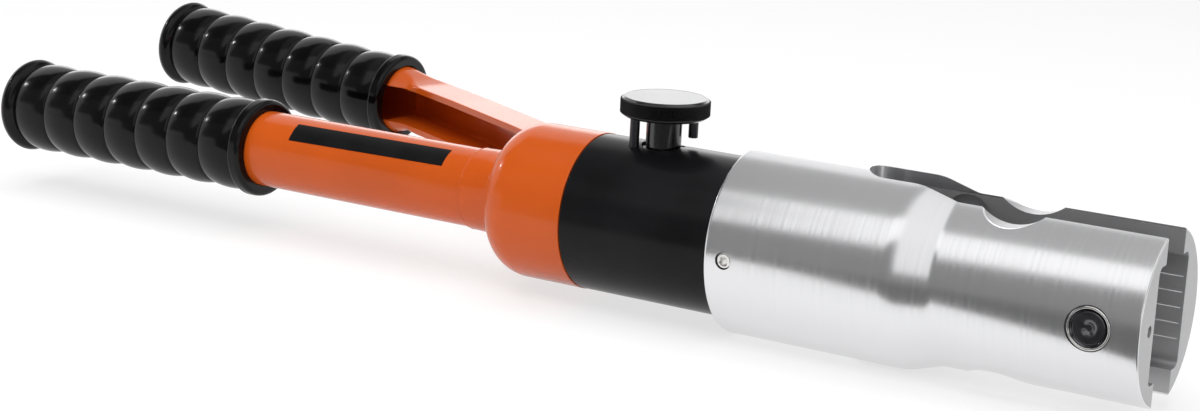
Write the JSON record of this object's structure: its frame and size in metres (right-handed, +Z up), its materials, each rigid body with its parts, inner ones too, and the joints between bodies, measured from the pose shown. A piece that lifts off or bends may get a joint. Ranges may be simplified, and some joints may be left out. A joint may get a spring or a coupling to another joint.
{
  "type": "hydraulic pipe crimping tool",
  "caption": "Two-handled manual hydraulic crimping tool: swivelling slotted fork head with cross pin and ram rollers, cylinder body with release knob, pump lever, wavy grips.",
  "frame": {"origin": "centre of the fixed handle grip's flat butt face, on the tool's long axis", "axes": "+X along the tool towards the fork head, +Z up towards the release knob, +Y towards the pump lever"},
  "size_m": [0.5846, 0.1903, 0.0905],
  "materials": {
    "cylinder_body": "satin black paint",
    "head_seal": "matte black seal rubber",
    "ram_gland": "turned bronze",
    "rod_seal": "matte black seal rubber",
    "return_spring": "bright spring steel",
    "valve_bonnet": "blackened steel",
    "knob_stop_post": "blackened steel",
    "pump_gland": "turned bronze",
    "pump_seal": "matte black seal rubber",
    "bell_housing": "glossy orange powder coat",
    "fixed_handle_tube": "glossy orange powder coat",
    "tank_bladder": "matte black rubber",
    "tank_plug": "blackened steel",
    "fixed_grip": "glossy black moulded grip",
    "lever_pivot_pin": "ground steel",
    "upper_circlip": "blackened spring steel",
    "lower_circlip": "blackened spring steel",
    "fork_head": "satin turned steel",
    "head_set_screw_1": "bright steel",
    "head_set_screw_2": "bright steel",
    "head_set_screw_3": "bright steel",
    "pin_detent": "blackened steel",
    "ram": "ground steel",
    "piston_seal": "matte black seal rubber",
    "roller_carriage": "blackened steel",
    "upper_roller_pin": "bright steel",
    "lower_roller_pin": "bright steel",
    "upper_roller": "ground steel",
    "lower_roller": "ground steel",
    "jaw_pin": "blackened steel with a bright rim",
    "jaw_pin_ring": "bright spring wire",
    "release_knob": "satin black",
    "knob_stop_pin": "blackened steel",
    "pump_lever": "glossy orange powder coat",
    "plunger_link_pin": "ground steel",
    "lever_grip": "glossy black moulded grip",
    "pump_plunger": "ground steel"
  },
  "bodies": {
    "body": {"cylinder_body": "cylinder_body", "head_seal": "head_seal", "ram_gland": "ram_gland", "rod_seal": "rod_seal", "return_spring": "return_spring", "valve_bonnet": "valve_bonnet", "knob_stop_post": "knob_stop_post", "pump_gland": "pump_gland", "pump_seal": "pump_seal", "bell_housing": "bell_housing", "fixed_handle_tube": "fixed_handle_tube", "tank_bladder": "tank_bladder", "tank_plug": "tank_plug", "fixed_grip": "fixed_grip", "lever_pivot_pin": "lever_pivot_pin", "upper_circlip": "upper_circlip", "lower_circlip": "lower_circlip"},
    "head": {"fork_head": "fork_head", "head_set_screw_1": "head_set_screw_1", "head_set_screw_2": "head_set_screw_2", "head_set_screw_3": "head_set_screw_3", "pin_detent": "pin_detent"},
    "ram_assembly": {"ram": "ram", "piston_seal": "piston_seal", "roller_carriage": "roller_carriage", "upper_roller_pin": "upper_roller_pin", "lower_roller_pin": "lower_roller_pin"},
    "upper_roller_body": {"upper_roller": "upper_roller"},
    "lower_roller_body": {"lower_roller": "lower_roller"},
    "jaw_pin_body": {"jaw_pin": "jaw_pin", "jaw_pin_ring": "jaw_pin_ring"},
    "knob": {"release_knob": "release_knob", "knob_stop_pin": "knob_stop_pin"},
    "lever": {"pump_lever": "pump_lever", "plunger_link_pin": "plunger_link_pin", "lever_grip": "lever_grip"},
    "plunger": {"pump_plunger": "pump_plunger"}
  },
  "joints": [
    {"name": "head_swivel", "type": "hinge", "parent": "body", "child": "head", "pos_m": [0.394, 0, 0], "axis": [1, 0, 0], "continuous": true},
    {"name": "ram_slide", "type": "slide", "parent": "head", "child": "ram_assembly", "axis": [1, 0, 0], "range_m": [0, 0.035], "deforming": ["return_spring"]},
    {"name": "upper_roller_spin", "type": "hinge", "parent": "ram_assembly", "child": "upper_roller_body", "pos_m": [0.468, 0, 0.009], "axis": [0, 1, 0], "continuous": true},
    {"name": "lower_roller_spin", "type": "hinge", "parent": "ram_assembly", "child": "lower_roller_body", "pos_m": [0.468, 0, -0.009], "axis": [0, 1, 0], "continuous": true},
    {"name": "jaw_pin_slide", "type": "slide", "parent": "head", "child": "jaw_pin_body", "axis": [0, -1, 0], "range_m": [0, 0.0505]},
    {"name": "release_knob_turn", "type": "hinge", "parent": "body", "child": "knob", "pos_m": [0.3526, 0, 0.045], "axis": [0, 0, 1], "range_deg": [0, 159]},
    {"name": "lever_hinge", "type": "hinge", "parent": "body", "child": "lever", "pos_m": [0.301, 0.0295, 0], "axis": [0, 0, -1], "range_deg": [0, 34]},
    {"name": "plunger_slide", "type": "slide", "parent": "body", "child": "plunger", "axis": [-1, 0, 0], "range_m": [0, 0.01296]}
  ],
  "couplings": [
    {"joint": "plunger_slide", "follows": "lever_hinge", "m_per_rad": 0.021679}
  ]
}
